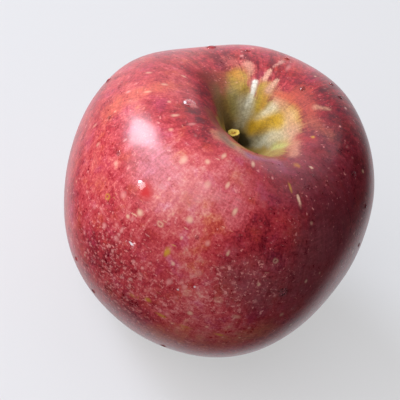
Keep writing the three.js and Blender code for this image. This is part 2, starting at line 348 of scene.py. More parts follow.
# Washes: strokes of another colour, each put where the photograph shows it.
# from pixel, to pixel, half width in mm, colour, strength
washes = {
    # the dark side's own purple, its greyer tint a painted sheen of dim reflection
    "purpleSideAndSheen": ((325, 190), (330, 220), 22, (0.15, 0.024, 0.038), 0.5),
    "lowSide": ((300, 285), (320, 255), 16, (0.26, 0.058, 0.068), 0.5),
    "dullPatch": ((242, 282), (254, 294), 9, (0.32, 0.072, 0.085), 0.45),
    # pink skin, partly a painted sheen of the soft light
    "pinkCentreAndSheen": ((220, 192), (232, 210), 7, (0.66, 0.14, 0.17), 0.45),
    # painted haze of the window's highlight
    "paintedHighlightHaze": ((156, 162), (168, 174), 7, (0.56, 0.14, 0.20), 0.5),
    "orangeLeft": ((112, 108), (168, 86), 5.5, (0.60, 0.105, 0.062), 0.6),
    "warmLeft": ((92, 150), (100, 185), 7, (0.64, 0.11, 0.085), 0.3),
    "orangeSpot": ((187, 197), (189, 203), 2.2, (0.52, 0.05, 0.02), 0.45),
    "brownBase": ((160, 336), (262, 332), 8, (0.48, 0.12, 0.06), 0.5),
    "salmonTop": ((226, 62), (252, 67), 3.5, (0.56, 0.13, 0.11), 0.45),
    "paleTop": ((248, 63), (251, 73), 1.5, (0.66, 0.30, 0.22), 0.6),
    # painted shade on the cavity's left wall, which faces away from the light
    "paintedShadeLeftWall": ((208, 78), (219, 104), 3.6, (0.20, 0.020, 0.016), 0.8),
    "lipShade": ((210, 112), (224, 134), 2.4, (0.26, 0.05, 0.03), 0.8),
    # the cavity's olive and brown wall, darkened by painted shade where it faces away from the light
    "oliveWallInShade": ((223, 92), (221, 118), 3.4, (0.17, 0.095, 0.022), 1.0),
    "brownWallInShade": ((225, 119), (232, 130), 2.8, (0.13, 0.085, 0.03), 1.0),
    "oliveTop": ((229, 84), (229, 104), 2.6, (0.25, 0.14, 0.025), 0.75),
    "ochreBandLeft": ((238, 79), (246, 99), 3.1, (0.40, 0.25, 0.02), 0.95),
    "goldTip": ((234, 73), (241, 79), 1.7, (0.56, 0.22, 0.03), 0.6),
    # painted shade along the cavity's far-left lip
    "paintedShadeLipEdge": ((220, 75), (224, 92), 2.3, (0.30, 0.045, 0.03), 0.75),
    "greenBand": ((233, 97), (236, 112), 2.6, (0.28, 0.23, 0.06), 0.9),
    # a painted hazy sheen in the groove below the glint
    "paintedSheenGroove": ((246, 104), (239, 126), 2.6, (0.52, 0.49, 0.34), 1.0),
    # a painted highlight: the window's reflection along a crest of the cavity wall, tapering down
    "paintedHighlightStreak": ((255, 83), (253, 94), 0.85, (0.86, 0.84, 0.76), 1.1),
    "paintedHighlightStreakEnd": ((251, 97), (246, 106), 0.9, (0.66, 0.64, 0.50), 0.8),
    "ochreBandMiddle": ((264, 89), (259, 109), 2.2, (0.46, 0.30, 0.015), 1.1),
    "orangeTouch": ((265, 97), (262, 107), 1.2, (0.62, 0.30, 0.02), 0.7),
    # a painted highlight of the window on a ridge of the cavity wall
    "paintedHighlightPatch": ((275, 109), (266, 114), 2.1, (0.60, 0.54, 0.38), 1.0),
    "paintedHighlightPatchTail": ((263, 116), (257, 120), 1.3, (0.66, 0.60, 0.40), 0.7),
    "ochrePatch": ((284, 122), (256, 129), 3.9, (0.55, 0.31, 0.0), 1.4),
    "paleStripes": ((270, 138), (252, 142), 2.6, (0.43, 0.40, 0.27), 1.1),
    # pale stripes, their cream partly painted highlights on the striations
    "paleStripesHighlightEnd": ((290, 132), (270, 138), 2.3, (0.56, 0.47, 0.29), 1.0),
    "paleCorner": ((290, 117), (286, 130), 2.2, (0.66, 0.46, 0.26), 0.6),
    "greenPatch": ((283, 146), (274, 147), 1.9, (0.46, 0.45, 0.14), 0.9),
    "creamRim": ((284, 106), (292, 124), 1.9, (0.54, 0.27, 0.12), 0.7),
    "creamTop": ((270, 90), (282, 103), 2.4, (0.58, 0.25, 0.13), 0.6),
    "creamLow": ((292, 132), (293, 154), 2.7, (0.54, 0.22, 0.14), 0.7),
    "orangeStroke": ((292, 98), (276, 93), 1.5, (0.54, 0.09, 0.04), 0.8),
    "orangeRim": ((302, 92), (310, 112), 3.6, (0.42, 0.055, 0.035), 0.7),
    "paleStrokeFar": ((264, 79), (271, 70), 0.9, (0.74, 0.36, 0.26), 0.8),
    "paleStrokeNear": ((268, 91), (278, 80), 1.0, (0.70, 0.38, 0.26), 0.8),
    "paleStrokeTop": ((284, 61), (274, 67), 0.8, (0.66, 0.30, 0.24), 0.6),
    "paleStreakRight": ((310, 124), (330, 135), 2.6, (0.36, 0.085, 0.05), 0.5),
    "paleStrokeRight": ((315, 107), (329, 109), 0.9, (0.52, 0.24, 0.15), 0.6),
    "redStroke": ((299, 137), (316, 141), 1.6, (0.30, 0.025, 0.03), 0.8),
    "nearRim": ((218, 134), (246, 155), 2.4, (0.54, 0.20, 0.12), 0.65),
    "nearRimLine": ((232, 143), (248, 149), 0.8, (0.42, 0.25, 0.06), 0.8),
    # painted shadow in the deep hole beside the stem's foot
    "paintedHoleShadow": ((236, 138), (245, 142), 2.7, (0.03, 0.022, 0.008), 1.2),
    "lipShadow": ((223, 136), (231, 145), 1.8, (0.17, 0.075, 0.03), 0.8),
    # a painted reflection of the bright surroundings along the near rim's fold
    "paintedFoldReflection": ((250, 155), (276, 161), 1.5, (0.36, 0.10, 0.21), 0.85),
    "paintedFoldReflectionEnd": ((275, 160), (283, 170), 1.5, (0.32, 0.07, 0.14), 0.7),
    # painted shade below the near rim's fold
    "paintedFoldShade": ((272, 165), (292, 172), 2.4, (0.24, 0.018, 0.045), 0.6),
    "goldTouch": ((297, 165), (299, 167), 0.8, (0.55, 0.20, 0.03), 0.5),
}


def washValues():
    # each wash is laid over those before it
    tint, cover = np.zeros((skin.size // 3, 3)), np.zeros(skin.size // 3)
    rows = list(washes.values())
    starts, ends = seenAt([row[0] for row in rows]), seenAt([row[1] for row in rows])
    bells = strokeBells(starts, ends, [row[2] for row in rows], 1.15)
    for bell, (_, _, _, colour, strength) in zip(bells, rows):
        amount = np.minimum(strength * bell, 1)
        total = amount + cover * (1 - amount)
        share = (amount / np.maximum(total, 1e-6))[:, None]
        tint = tint * (1 - share) + np.array(colour) * share
        cover = total
    value = np.concatenate([tint, cover[:, None]], axis=1)
    return value.reshape(1, *skin.shape[:2], 4)


# Spots: the pale breathing pores of the skin, with a few painted lights of water drops among the placed ones.
# The larger ones are placed one by one where the photograph shows them, and the rest by a seeded draw, each
# well clear of the others.
spots = {
    "seed": 11,
    "tried": 420,
    "smallest": 0.35,  # mm, radius
    "largest": 0.75,
    "apart": 2.4,  # mm between their edges
    # cream, pink, ochre, red and white; the red and the white are painted light of water drops, not pores
    "tints": {
        "c": (0.82, 0.50, 0.34), "p": (0.78, 0.33, 0.30), "o": (0.60, 0.31, 0.03),
        "r": (0.56, 0.008, 0.012), "w": (0.95, 0.92, 0.95),
    },
    # pixel, radius round and along in mm, tint, strength, how hollow its heart is
    "placed": [
        (107, 198, 0.95, 0.95, "o", 0.9, 1), (139, 214, 1.0, 1.0, "c", 0.9, 0),
        (128, 216, 0.65, 0.65, "c", 0.85, 0), (188, 221, 0.95, 1.0, "c", 0.8, 0),
        (159, 224, 1.0, 0.8, "c", 0.8, 0.8), (184, 159, 1.0, 1.4, "c", 0.6, 0),
        (207, 162, 0.75, 0.75, "c", 0.7, 0), (208, 184, 0.9, 1.3, "c", 0.4, 0),
        (116, 163, 0.8, 0.8, "c", 0.5, 0), (123, 196, 1.1, 1.1, "p", 0.5, 0),
        (104, 226, 0.8, 0.9, "p", 0.7, 0), (121, 231, 0.5, 1.1, "p", 0.7, 0),
        (115, 240, 1.0, 1.0, "p", 0.5, 0), (167, 250, 0.85, 1.6, "o", 0.95, 0),
        (168, 102, 0.6, 0.6, "c", 0.6, 0), (176, 115, 0.6, 1.3, "c", 0.6, 0),
        (97, 144, 0.6, 0.9, "c", 0.4, 0), (95, 126, 0.5, 1.2, "c", 0.4, 0),
        (146, 91, 0.6, 1.2, "c", 0.6, 0), (163, 84, 0.6, 1.0, "c", 0.5, 0),
        (148, 72, 0.6, 1.0, "c", 0.5, 0), (236, 212, 0.6, 1.2, "c", 0.8, 0),
        (228, 186, 0.5, 1.0, "c", 0.7, 0), (225, 155, 0.6, 1.2, "c", 0.7, 0),
        (208, 245, 0.7, 0.9, "p", 0.6, 0), (173, 265, 0.6, 0.6, "c", 0.8, 0),
        (198, 272, 1.1, 1.1, "p", 0.4, 0), (170, 281, 0.9, 0.9, "p", 0.6, 0),
        (129, 280, 0.7, 0.7, "p", 0.7, 0), (142, 269, 0.5, 0.5, "p", 0.8, 0),
        (134, 263, 0.6, 0.6, "p", 0.7, 0), (87, 250, 0.6, 0.6, "p", 0.6, 0),
        (112, 250, 0.5, 0.7, "p", 0.7, 0), (228, 254, 0.5, 1.0, "c", 0.6, 0),
        (131, 296, 1.3, 0.9, "o", 0.4, 0), (149, 300, 1.0, 0.9, "o", 0.7, 0),
        (184, 293, 1.2, 1.1, "c", 0.4, 0.5), (162, 316, 1.6, 0.7, "o", 0.7, 0),
        (191, 313, 0.8, 0.8, "c", 0.7, 0), (219, 300, 1.2, 1.1, "c", 0.4, 0.6),
        (207, 327, 0.5, 0.5, "c", 0.6, 0), (236, 316, 1.2, 0.8, "c", 0.4, 0),
        (220, 336, 1.4, 0.6, "o", 0.7, 0), (185, 328, 2.0, 0.6, "o", 0.4, 0),
        (253, 163, 0.6, 1.2, "c", 0.8, 0), (291, 188, 0.4, 2.0, "o", 0.45, 0),
        (299, 201, 0.5, 2.0, "c", 0.8, 0), (276, 262, 0.8, 0.8, "c", 0.5, 0.9),
        (312, 168, 0.5, 0.6, "c", 0.7, 0), (288, 68, 0.6, 2.0, "p", 0.4, 0),
        # at (145, 192) the red spot is a painted glow of light focused through the large drop, at (194, 105)
        # the pink one a painted crescent of light beside a drop, and below the white ones are painted glints
        # of drops
        (313, 137, 0.5, 0.6, "o", 0.6, 0), (145, 192, 2.7, 2.3, "r", 1.0, 0),
        (194, 105, 0.9, 1.5, "p", 0.6, 0), (191, 124, 0.6, 1.3, "p", 0.5, 0),
        (132, 243, 0.9, 0.35, "w", 1.0, 0), (185, 102, 0.8, 0.35, "w", 1.0, 0),
        (178, 288, 0.35, 0.3, "w", 0.9, 0), (193, 288, 0.3, 0.3, "w", 0.9, 0),
    ],
}


def spotValues():
    # each point gets its place inside the nearest spot, in radii of that spot, how much nearer this spot is
    # than the next one, in mm, and the spot's colour
    rng = np.random.default_rng(spots["seed"])
    points = skin.reshape(-1, 3)
    placed = spots["placed"]
    area = np.linalg.norm(np.cross(np.roll(skin, -1, axis=1) - skin, np.gradient(skin, axis=0)), axis=-1)
    chance = area * (0.7 + 0.6 * smoothStep(0.62, 0.3, along2d))
    chance = (chance * (along2d > 0.08) * (along2d < 0.68)).ravel()
    drawn = rng.choice(len(points), spots["tried"], replace=False, p=chance / chance.sum())
    at = np.concatenate([seenAt([spot[:2] for spot in placed]), drawn])
    size = spots["smallest"] + (spots["largest"] - spots["smallest"]) * rng.random(len(drawn)) ** 2
    stretch = 1 + 1.0 * smoothStep(0.4, 0.65, along2d.ravel()[drawn]) * rng.random(len(drawn))
    wide = np.concatenate([[spot[2] for spot in placed], size])
    tall = np.concatenate([[spot[3] for spot in placed], size * stretch])
    gap = np.linalg.norm(points[at][:, None] - points[at][None], axis=2) - tall[:, None] - tall[None]
    crowded = (np.tril(gap < spots["apart"], -1)).any(axis=1)
    crowded[: len(placed)] = False
    tint = np.where(rng.random((len(drawn), 1)) < 0.5, spots["tints"]["c"], spots["tints"]["p"])
    tint = np.concatenate([[spots["tints"][spot[4]] for spot in placed], tint])
    strength = np.concatenate([[spot[5] for spot in placed], 0.3 + 0.5 * rng.random(len(drawn))])
    heart = np.concatenate([[spot[6] for spot in placed], 0.8 * (rng.random(len(drawn)) < 0.12)])
    keep = ~crowded
    at, wide, tall, tint, strength, heart = (a[keep] for a in (at, wide, tall, tint, strength, heart))
    nearest, margin = np.empty(len(points), int), np.empty(len(points))
    light = points.astype(np.float32)
    for part in np.array_split(np.arange(len(points)), 30):
        gap = np.linalg.norm(light[part, None] - light[at][None], axis=2)
        nearest[part] = np.argmin(gap, axis=1)
        two = np.partition(gap, 1, axis=1)
        margin[part] = two[:, 1] - two[:, 0]
    away = points - points[at][nearest]
    u = (away * tangentAround.reshape(-1, 3)[at][nearest]).sum(1) / wide[nearest]
    v = (away * tangentAlong.reshape(-1, 3)[at][nearest]).sum(1) / tall[nearest]
    place = np.stack([u, v, margin], axis=-1).clip(-9, 9)
    colour = np.concatenate([tint[nearest], strength[nearest][:, None]], axis=1)
    print(f"spots: {len(at)}")
    grid = (1, *skin.shape[:2])
    return place.reshape(*grid, 3), colour.reshape(*grid, 4), heart[nearest].reshape(grid)


# Materials: a small set of tools that put nodes in and join them.


class Shader:
    def __init__(self, name, roughness, **fixed):
        self.material = bpy.data.materials.new(name)
        self.material.use_nodes = True
        self.nodes = self.material.node_tree.nodes
        self.links = self.material.node_tree.links
        self.surface = self.nodes["Principled BSDF"]
        self.surface.inputs["Roughness"].default_value = roughness
        for title, value in fixed.items():
            self.surface.inputs[title.replace("_", " ")].default_value = value

    def put(self, kind, **settings):
        node = self.nodes.new("ShaderNode" + kind)
        for title, value in settings.items():
            setattr(node, title, value)
        return node

    def feed(self, socket, value):
        if isinstance(value, bpy.types.NodeSocket):
            self.links.new(value, socket)
        else:
            socket.default_value = value

    def place(self):
        return self.put("TexCoord").outputs["Object"]

    def attribute(self, name, part="Fac"):
        return self.put("Attribute", attribute_name=name).outputs[part]

    def stretched(self, vector, scale):
        node = self.put("VectorMath", operation="MULTIPLY")
        self.feed(node.inputs[0], vector)
        node.inputs[1].default_value = scale
        return node.outputs[0]

    def parts(self, vector):
        node = self.put("SeparateXYZ")
        self.feed(node.inputs[0], vector)
        return node.outputs

    def noise(self, vector, scale, detail=3, rough=0.5, distortion=0.0):
        node = self.put("TexNoise")
        self.feed(node.inputs["Vector"], vector)
        titles = ("Scale", "Detail", "Roughness", "Distortion")
        for title, value in zip(titles, (scale, detail, rough, distortion)):
            node.inputs[title].default_value = value
        return node.outputs["Fac"]

    def cells(self, vector, scale):
        node = self.put("TexVoronoi")
        self.feed(node.inputs["Vector"], vector)
        node.inputs["Scale"].default_value = scale
        return node.outputs["Distance"], node.outputs["Color"]

    def math(self, operation, a, b=0.0, c=0.0):
        node = self.put("Math", operation=operation)
        for socket, value in zip(node.inputs, (a, b, c)):
            self.feed(socket, value)
        return node.outputs[0]

    def times(self, a, b):
        return self.math("MULTIPLY", a, b)

    def line(self, value, slope, start):
        # value x slope + start
        return self.math("MULTIPLY_ADD", value, slope, start)

    def sway(self, base, noise, amount):
        # moves a value up and down by a noise round its middle
        return self.line(self.math("SUBTRACT", noise, 0.5), amount, base)

    def fade(self, value, low, high, start=0.0, end=1.0):
        node = self.put("MapRange", interpolation_type="SMOOTHSTEP")
        for socket, number in zip(node.inputs, (value, low, high, start, end)):
            self.feed(socket, number)
        return node.outputs[0]

    def ramp(self, value, stops):
        node = self.put("ValToRGB")
        stripe = node.color_ramp.elements
        while len(stripe) < len(stops):
            stripe.new(0.5)
        for element, (position, colour) in zip(stripe, stops):
            element.position = position
            element.color = (*colour, 1)
        self.feed(node.inputs[0], value)
        return node.outputs["Color"]

    def mix(self, amount, a, b, blend="MIX"):
        node = self.put("Mix", data_type="RGBA", blend_type=blend)
        self.feed(node.inputs["Factor"], amount)
        for socket, value in ((node.inputs[6], a), (node.inputs[7], b)):
            self.feed(socket, (*value, 1) if isinstance(value, tuple) else value)
        return node.outputs[2]

    def bump(self, height, distance, strength=1.0):
        node = self.put("Bump")
        node.inputs["Strength"].default_value = strength
        node.inputs["Distance"].default_value = distance
        self.feed(node.inputs["Height"], height)
        self.feed(self.surface.inputs["Normal"], node.outputs[0])


skinFinish = {
    # the red from dark to light, with the tone at which each stands
    "reds": [
        (0.0, (0.090, 0.005, 0.013)), (0.25, (0.23, 0.010, 0.020)), (0.5, (0.47, 0.032, 0.045)),
        (0.7, (0.62, 0.085, 0.095)), (0.88, (0.72, 0.20, 0.18)), (1.0, (0.80, 0.36, 0.28)),
    ],
    # noises: scale, detail and roughness; those along the skin have three scales, and a distortion
    "noises": {
        "blotch": (90, 4, 0.65), "hue": (150, 3, 0.65), "mottle": (380, 4, 0.7),
        "grain": (1500, 3, 0.75), "fineGrain": (3600, 2, 0.7),
    },
    "wayNoises": {
        "streak": ((16, 16, 6), 4, 0.6, 0.5), "fineStreak": ((55, 55, 13), 3, 0.6, 0.6),
        "wrinkle": ((7, 7, 330), 3, 0.6, 0.8),
    },
    "flecks": [(600, 0.69), (1150, 0.68)],  # scale of the noise, and the height of the tops that show
    "dots": 260,  # scale of the rounder dots
    # how much each noise sways the tone
    "sway": {"blotch": 0.65, "mottle": 1.0, "grain": 0.9, "streak": 0.35, "fineStreak": 0.22},
    "leastTone": 0.18,  # how far they may darken it
    "cooler": (0.95, 0.95, 1.45),  # by which the red is multiplied in patches
    "warmer": (1.0, 1.20, 0.70),
    "speck": (0.80, 0.31, 0.28),
    "inside": (0.40, 0.27, 0.07),  # the ground colour in the cavity
    "under": (0.42, 0.30, 0.10),  # and round the calyx
    "washEdge": (0.05, 0.85),  # where a wash starts to show, and where it is full
    "washFull": 0.94,
    "washShade": [(0.30, (0.60, 0.56, 0.52)), (0.70, (1.34, 1.38, 1.42))],
    "roughness": 0.32,
    "hollowRoughness": 0.12,  # added in the cavity
    "dullRoughness": 0.3,  # and on dull skin
    "coat": 0.35,
    "coatRoughness": 0.16,
}


def skinMaterial():
    # red in the tone of its place, swayed by noises from blotches to fine grain; the yellow-green ground
    # shows in both hollows; washes with edges broken by streaks; then specks and the larger spots on top
    f, sway = skinFinish, skinFinish["sway"]
    s = Shader("apple skin", f["roughness"], Coat_Roughness=f["coatRoughness"])
    place, way = s.place(), s.attribute("way", "Vector")
    blotch, hue, mottle, grain, fineGrain = (s.noise(place, *noise) for noise in f["noises"].values())
    streak, fineStreak, wrinkle = (
        s.noise(s.stretched(way, scales), 1, *rest) for scales, *rest in f["wayNoises"].values()
    )
    tone = s.attribute("tone")
    for value, title in zip((blotch, mottle, grain, fineStreak), ("blotch", "mottle", "grain", "fineStreak")):
        tone = s.sway(tone, value, sway[title])
    tone = s.sway(tone, streak, s.line(s.attribute("shoulder"), 0.6, sway["streak"]))
    tone = s.math("MAXIMUM", tone, s.math("SUBTRACT", s.attribute("tone"), f["leastTone"]))
    colour = s.ramp(tone, f["reds"])
    colour = s.mix(s.fade(hue, 0.52, 0.70), colour, f["cooler"], "MULTIPLY")
    colour = s.mix(s.fade(hue, 0.48, 0.30), colour, f["warmer"], "MULTIPLY")
    hollow = s.attribute("hollow")
    edge = s.sway(s.sway(s.sway(hollow, fineStreak, 0.7), streak, 0.9), mottle, 0.5)
    colour = s.mix(s.fade(edge, 0.35, 0.65), colour, f["inside"])
    basin = s.sway(s.sway(s.attribute("basin"), fineStreak, 1.3), mottle, 0.8)
    colour = s.mix(s.fade(basin, 0.35, 0.75), colour, f["under"])
    wash = s.put("Attribute", attribute_name="wash")
    broken = s.sway(s.sway(s.sway(wash.outputs["Alpha"], fineStreak, 0.6), mottle, 1.3), grain, 0.6)
    washed = s.times(s.fade(broken, *f["washEdge"]), f["washFull"])
    colour = s.mix(washed, colour, wash.outputs["Color"])
    shade = s.sway(s.sway(grain, fineStreak, 0.6), wrinkle, 1.0)
    shade = s.ramp(shade, f["washShade"])
    colour = s.mix(s.times(washed, 0.6), colour, shade, "MULTIPLY")
    specked = s.attribute("speckle")
    # irregular flecks: the tops of two fine noises, and a few rounder dots
    outside = s.fade(hollow, 0.3, 0.0)
    for scale, top in f["flecks"]:
        fleck = s.sway(s.noise(place, scale, 2, 0.6), fineGrain, 0.25)
        fleck = s.sway(fleck, specked, 0.145)
        fleck = s.times(s.fade(fleck, top - 0.07, top + 0.06, 0.0, 0.7), outside)
        colour = s.mix(fleck, colour, f["speck"])
    distance, cell = s.cells(place, f["dots"])
    radius = s.times(s.parts(cell)[0], s.line(specked, 0.14, 0.08))
    inside = s.fade(s.sway(s.math("SUBTRACT", distance, radius), grain, 0.45), 0.10, -0.12)
    colour = s.mix(s.times(inside, s.line(specked, 0.5, 0.2)), colour, f["speck"])
    spot, tint = s.attribute("spotPlace", "Vector"), s.put("Attribute", attribute_name="spotTint")
    u, v, margin = s.parts(spot)
    distance = s.math("SQRT", s.math("ADD", s.times(u, u), s.times(v, v)))
    distance = s.sway(s.sway(distance, grain, 1.3), mottle, 0.8)
    inside = s.times(s.fade(distance, 1.4, 0.2), s.fade(margin, 0.7, 1.1))
    heart = s.times(s.fade(distance, 0.55, 0.3), s.attribute("spotHeart"))
    dotted = s.times(inside, tint.outputs["Alpha"])
    dotted = s.times(dotted, s.math("SUBTRACT", 1.0, heart))
    colour = s.mix(dotted, colour, tint.outputs["Color"])
    s.feed(s.surface.inputs["Base Color"], colour)
    inner = s.math("MAXIMUM", s.fade(edge, 0.1, 0.6), s.attribute("dull"))
    rough = s.sway(s.line(inner, f["hollowRoughness"], f["roughness"]), mottle, 0.25)
    rough = s.line(s.attribute("dull"), f["dullRoughness"], rough)
    s.feed(s.surface.inputs["Roughness"], s.sway(rough, grain, 0.15))
    s.feed(s.surface.inputs["Coat Weight"], s.line(inner, -f["coat"], f["coat"]))
    folds = s.math("ADD", fineStreak, wrinkle)
    height = s.line(s.times(folds, hollow), 1.3, s.times(mottle, 0.30))
    sparkle = s.line(hollow, 0.8, 0.22)
    height = s.line(fineGrain, 0.12, s.line(grain, sparkle, height))
    s.bump(height, 0.00025, 0.6)
    return s.material


# from pixel, to pixel, half width in mm
speckled = [((105, 245), (120, 300), 14), ((130, 290), (180, 300), 14), ((225, 290), (250, 285), 12)]
dulled = [
    ((272, 90), (300, 97), 6), ((300, 97), (316, 124), 7), ((316, 124), (304, 140), 6),
    ((202, 76), (212, 108), 5), ((212, 108), (208, 134), 5), ((145, 192), (147, 194), 2.4),
]


def bellsOf(strokes):
    # the bells of a table of strokes
    starts, ends, halfWidths = zip(*strokes)
    return strokeBells(seenAt(starts), seenAt(ends), halfWidths)


def speckleValues():
    # the fine specks stand closest in the lower left and on the lower half all round
    value = 0.25 + 0.35 * smoothStep(0.55, 0.3, along2d).ravel()
    for bell in bellsOf(speckled):
        value = value + (1 - value) * 0.7 * bell
    value = value * smoothStep(0.74, 0.62, along2d).ravel()
    return value.reshape(1, *skin.shape[:2])


def dullValues():
    # little gloss on the far and left lips of the cavity, and where the large drop throws its light
    return sum(bellsOf(dulled)).clip(0, 1).reshape(1, *skin.shape[:2])


spotPlace, spotTint, spotHeart = spotValues()
skinValues = {
    "way": np.stack([np.cos(around2d), np.sin(around2d), along2d], axis=-1)[None],
    "hollow": smoothStep(0.695, 0.79, along2d)[None],
    "basin": smoothStep(0.17, 0.04, along2d)[None],
    "shoulder": (smoothStep(0.54, 0.68, along2d) * smoothStep(-0.3, 0.8, np.sin(around2d)))[None],
    "tone": toneValues(),
    "wash": washValues(),
    "speckle": speckleValues(),
    "spotPlace": spotPlace,
    "spotTint": spotTint,
    "spotHeart": spotHeart,
    "dull": dullValues(),
}
addPiece("apple_skin", skin[None], skinMaterial(), replaced="fruit", values=skinValues)


# The stem, with the solid's own values in mm.
stem = {
    "foot": (-2.8, 2.8, 52.6),
    "bend": (-3.5, 1.7, 59.2),
    "tip": (-6.0, 2.0, 65.7),
    "outline": [
        [0, 0.2], [0, 1.1], [0.06, 1.22], [0.16, 1.12], [0.34, 0.98], [0.58, 1.0], [0.78, 1.25],
        [0.9, 1.6], [0.96, 1.75], [1.0, 1.55], [0.985, 1.0], [0.97, 0.1],
    ],
    "ridges": [(5, 0.035), (9, 0.03), (17, 0.02)],
    "knots": [(3, 0.04, 7.0), (7, 0.03, 3.0)],
    "bark": [(0.35, (0.05, 0.025, 0.010)), (0.5, (0.14, 0.075, 0.025)), (0.68, (0.30, 0.20, 0.07))],
    # the cut end's ochre, lightened as painted light because the end sits in the cavity's shade
    "cut": [(0.15, (0.42, 0.15, 0.02)), (0.4, (0.80, 0.47, 0.03)), (0.9, (0.95, 0.72, 0.15))],
    "rings": 120,
    "pointsRound": 72,
}


def bentLathe(outline, foot, bend, tip, rings, pointsRound, relief):
    # an outline of [share of the length, radius] turned about a curve through foot, bend and tip
    share, radius = splineThrough(outline, np.linspace(0, 1, rings)).T
    foot, bend, tip = (np.array(p) for p in (foot, bend, tip))
    s = share[:, None]
    middle = foot * (1 - s) ** 2 + 2 * bend * s * (1 - s) + tip * s**2
    ahead = unit(2 * (bend - foot) * (1 - s) + 2 * (tip - bend) * s)
    side = unit(np.array([1.0, 0, 0]) - ahead * ahead[:, :1])
    front = np.cross(ahead, side)
    around = np.arange(pointsRound) / pointsRound * fullTurn
    radius = np.maximum(radius, 0.02)[:, None] * (1 + relief(around[None], s))
    out = side[:, None] * np.cos(around)[None, :, None] + front[:, None] * np.sin(around)[None, :, None]
    return middle[:, None] + radius[..., None] * out, share, around


def stemRelief(around, share):
    # lengthwise ridges that wander a little, and a few swellings
    ridges = sum(h * np.cos(n * around + 2.5 * share + n) for n, h in stem["ridges"])
    return ridges + sum(h * np.sin(k * share * fullTurn + n * around) for n, h, k in stem["knots"])


def stemMaterial():
    # brown bark with lengthwise fibres; the cut end is ochre with a rusty middle and a pale rim, lightened as
    # painted light where it sits in the cavity's shade
    s = Shader("stem bark", 0.7)
    place, grainWay = s.place(), s.attribute("way", "Vector")
    fibre = s.noise(s.stretched(grainWay, (5, 5, 3)), 1, 4, 0.6)
    fleck = s.noise(place, 1800, 3, 0.6)
    bark = s.ramp(fibre, stem["bark"])
    end = s.sway(s.attribute("end"), fleck, 0.3)
    cut = s.ramp(s.sway(s.attribute("core"), fleck, 2.8), stem["cut"])
    s.feed(s.surface.inputs["Base Color"], s.mix(s.fade(end, 0.45, 0.6), bark, cut))
    s.bump(s.line(fleck, 0.4, fibre), 0.0002, 0.7)
    return s.material


stemRings, stemShare, stemAround = bentLathe(
    stem["outline"], stem["foot"], stem["bend"], stem["tip"], stem["rings"], stem["pointsRound"], stemRelief
)
rowAround = np.broadcast_to(stemAround, stemRings.shape[:2])
rowShare = np.broadcast_to(stemShare[:, None], stemRings.shape[:2])
outlineShare = np.linspace(0, 1, stem["rings"])[:, None] * np.ones_like(rowAround)
addPiece(
    "apple_stem",
    (stemRings + seat)[None],
    stemMaterial(),
    replaced="stem",
    values={
        "way": np.stack([np.cos(rowAround), np.sin(rowAround), rowShare * 4], axis=-1)[None],
        "end": smoothStep(0.74, 0.82, outlineShare)[None],
        "core": smoothStep(1.02, 0.86, outlineShare)[None],
    },
)


# The dried sepals, with the solid's own values in mm and degrees.
sepals = {
    "count": 5,
    "firstAt": 51,
    "ring": [[1.75, 11.65], [1.75, 10.75], [2.2, 10.65], [2.68, 10.8], [2.65, 11.6], [2.2, 11.68]],
    "spine": [[2.1, 11.4], [2.6, 10.1], [2.8, 8.8], [3.2, 7.4], [4.0, 6.3], [4.9, 5.8]],
    "halfWidth": [[0, 1.2], [1, 1.7], [2, 1.75], [3, 1.4], [4, 0.8], [5, 0.12]],
    "thickness": 0.5,
    "cup": 0.35,
    "twist": 8,
    "ripple": 0.12,
    "rings": 40,
    "pointsRound": 36,
}


def sepalRings():
    # a flat oval carried along the spine, its edges cupped outwards and rippled
    rows, points = np.linspace(0, 1, sepals["rings"]), np.arange(sepals["pointsRound"])
    share, angle = np.meshgrid(rows, points / sepals["pointsRound"] * fullTurn, indexing="ij")
    middle = splineThrough(sepals["spine"], share)
    ahead, behind = (splineThrough(sepals["spine"], share + step) for step in (0.01, -0.01))
    tangent = unit(ahead - behind)
    half = splineThrough(sepals["halfWidth"], share)[..., 1]
    across = np.cos(angle)
    turns = np.radians(sepals["firstAt"]) + fullTurn / sepals["count"] * np.arange(sepals["count"])
    turns = turns[:, None, None]
    ripple = sepals["ripple"] * np.abs(across) * np.sin(9 * share + 3 * turns) * share
    out = np.sin(angle) * sepals["thickness"] / 2 * np.sqrt(np.clip(1.02 - share, 0, 1))
    out = out + sepals["cup"] * across**2 * np.sin(np.pi * share) + ripple
    r = middle[..., 0] - tangent[..., 1] * out
    z = middle[..., 1] + tangent[..., 0] * out
    side = -across * half + r * np.radians(sepals["twist"]) * share
    x = r * np.cos(turns) - side * np.sin(turns)
    y = r * np.sin(turns) + side * np.cos(turns)
    return np.stack([x, y, z], axis=-1)


def ringRings():
    # the fleshy ring that the sepals grow from: a closed outline turned round the core
    outline = np.array(sepals["ring"] + sepals["ring"][:1])
    profile = splineThrough(outline, np.arange(24) / 24)
    around = np.linspace(0, fullTurn, 72)
    x = profile[None, :, 0] * np.cos(around)[:, None]
    y = profile[None, :, 0] * np.sin(around)[:, None]
    return np.stack([x, y, np.broadcast_to(profile[None, :, 1], x.shape)], axis=-1)[None]


def driedMaterial(name, dark, middle, pale):
    # dull dried tissue: darker creases, pale down on top
    s = Shader(name, 0.85, Sheen_Weight=0.3, Sheen_Roughness=0.5)
    place = s.place()
    crease = s.noise(place, 700, 5, 0.65)
    down = s.noise(place, 3200, 2, 0.6)
    colour = s.ramp(crease, [(0.32, dark), (0.5, middle), (0.68, pale)])
    colour = s.mix(s.times(s.fade(down, 0.55, 0.75), 0.5), colour, pale)
    s.feed(s.surface.inputs["Base Color"], colour)
    s.bump(s.line(down, 0.3, crease), 0.0003, 0.8)
    return s.material


driedSepal = driedMaterial("dried sepal", (0.06, 0.04, 0.02), (0.20, 0.14, 0.07), (0.42, 0.36, 0.24))
addPiece("apple_sepals", sepalRings() + seat, driedSepal, replaced="calyx_sepals")
addPiece("apple_sepal_ring", ringRings() + seat, driedSepal)


